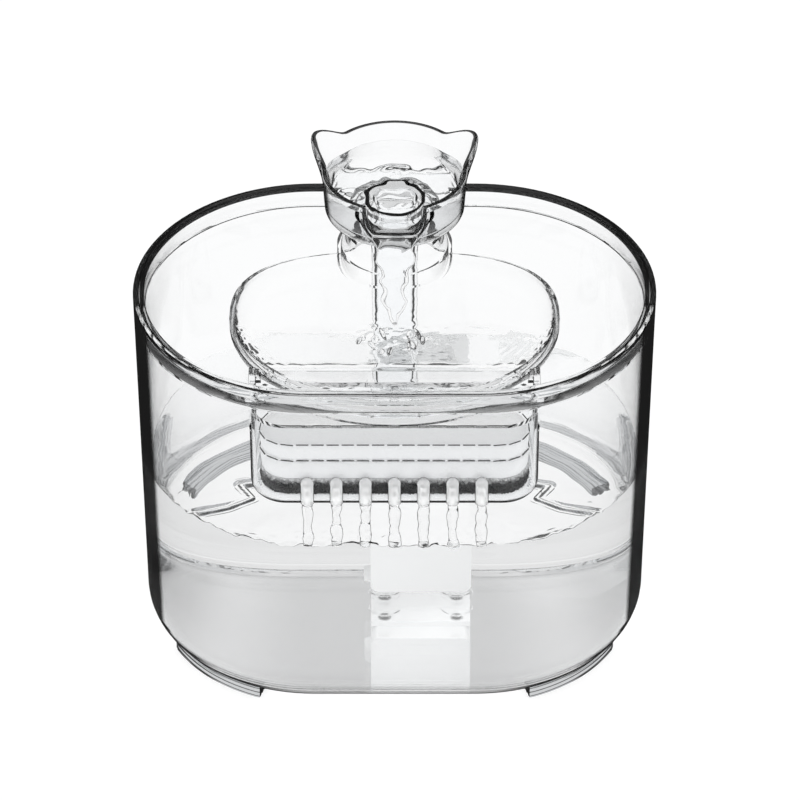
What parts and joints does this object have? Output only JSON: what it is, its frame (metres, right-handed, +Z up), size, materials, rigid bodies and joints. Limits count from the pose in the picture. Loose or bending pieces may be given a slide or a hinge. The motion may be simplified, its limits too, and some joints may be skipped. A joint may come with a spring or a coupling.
{
  "type": "pet water fountain",
  "caption": "Clear racetrack tank with a basin tray, a cat-head spout cup on a riser tube, a hanging filter box with outlet nozzles and a pump on suction cups.",
  "frame": {"origin": "centre of the overall box in plan, on the surface that the feet stand on", "axes": "+Z up; +X along the tank's length, to the right seen from the front; the front with the filter box faces -Y"},
  "size_m": [0.182, 0.1244, 0.1745],
  "materials": {
    "clear_tank": "crystal-clear polished plastic",
    "clear_tray": "crystal-clear polished plastic",
    "clear_cup": "crystal-clear polished plastic",
    "clear_box": "clear moulded plastic",
    "clear_feet": "translucent soft plastic",
    "silicone": "translucent silicone",
    "cotton": "white needled fibre",
    "carbon": "granular dark carbon layer",
    "foam": "open-cell foam",
    "pump_plastic": "satin white plastic",
    "rotor_plastic": "white acetal",
    "ferrite": "dark sintered magnet",
    "ceramic": "polished ceramic",
    "rubber": "matt black rubber",
    "core_steel": "laminated electrical steel",
    "copper": "enamelled copper wire",
    "board": "green circuit board"
  },
  "bodies": {
    "tank": {"tank": "clear_tank", "foot_front_left": "clear_feet", "foot_front_right": "clear_feet", "foot_rear_left": "clear_feet", "foot_rear_right": "clear_feet"},
    "tray": {"tray": "clear_tray"},
    "cup": {"spout_cup": "clear_cup", "cup_seal": "silicone"},
    "filter": {"filter_box": "clear_box", "outlet_nozzles": "clear_box"},
    "pad": {"top_cotton": "cotton", "resin_layer": "cotton", "carbon_layer": "carbon", "bottom_cotton": "cotton"},
    "pump": {"pump_housing": "pump_plastic", "pump_cover": "pump_plastic", "cover_seal": "rubber", "intake_hood": "pump_plastic", "intake_foam": "foam", "rotor_shaft": "ceramic", "front_bush": "rubber", "rear_bush": "rubber", "stator_core": "core_steel", "stator_coils": "copper", "drive_board": "board", "back_cap": "pump_plastic", "pump_base": "pump_plastic", "cable_gland": "rubber", "suction_cup_1": "silicone", "suction_cup_2": "silicone", "suction_cup_3": "silicone", "suction_cup_4": "silicone", "outlet_adapter": "silicone", "riser_tube": "clear_box"},
    "rotor": {"impeller": "rotor_plastic", "rotor_magnet": "ferrite"},
    "slider": {"flow_slider": "pump_plastic"}
  },
  "joints": [
    {"name": "tray_lift", "type": "slide", "parent": "tank", "child": "tray", "axis": [0, 0, 1], "range_m": [0, 0.08]},
    {"name": "cup_lift", "type": "slide", "parent": "tray", "child": "cup", "axis": [0, 0, 1], "range_m": [0, 0.04]},
    {"name": "box_drop", "type": "slide", "parent": "tray", "child": "filter", "axis": [0, 0, -1], "range_m": [0, 0.045]},
    {"name": "pad_lift", "type": "slide", "parent": "filter", "child": "pad", "axis": [0, 0, 1], "range_m": [0, 0.0225]},
    {"name": "pump_lift", "type": "slide", "parent": "tank", "child": "pump", "axis": [0, 0, 1], "range_m": [0, 0.06]},
    {"name": "rotor_spin", "type": "hinge", "parent": "pump", "child": "rotor", "pos_m": [0.0095, 0.036, 0.0284], "axis": [0, 1, 0], "continuous": true},
    {"name": "slider_move", "type": "slide", "parent": "pump", "child": "slider", "axis": [-1, 0, 0], "range_m": [0, 0.002]}
  ],
  "couplings": [
    {"joint": "pad_lift", "follows": "box_drop", "ratio": 0.5},
    {"joint": "pump_lift", "follows": "tray_lift", "ratio": 0.75}
  ]
}
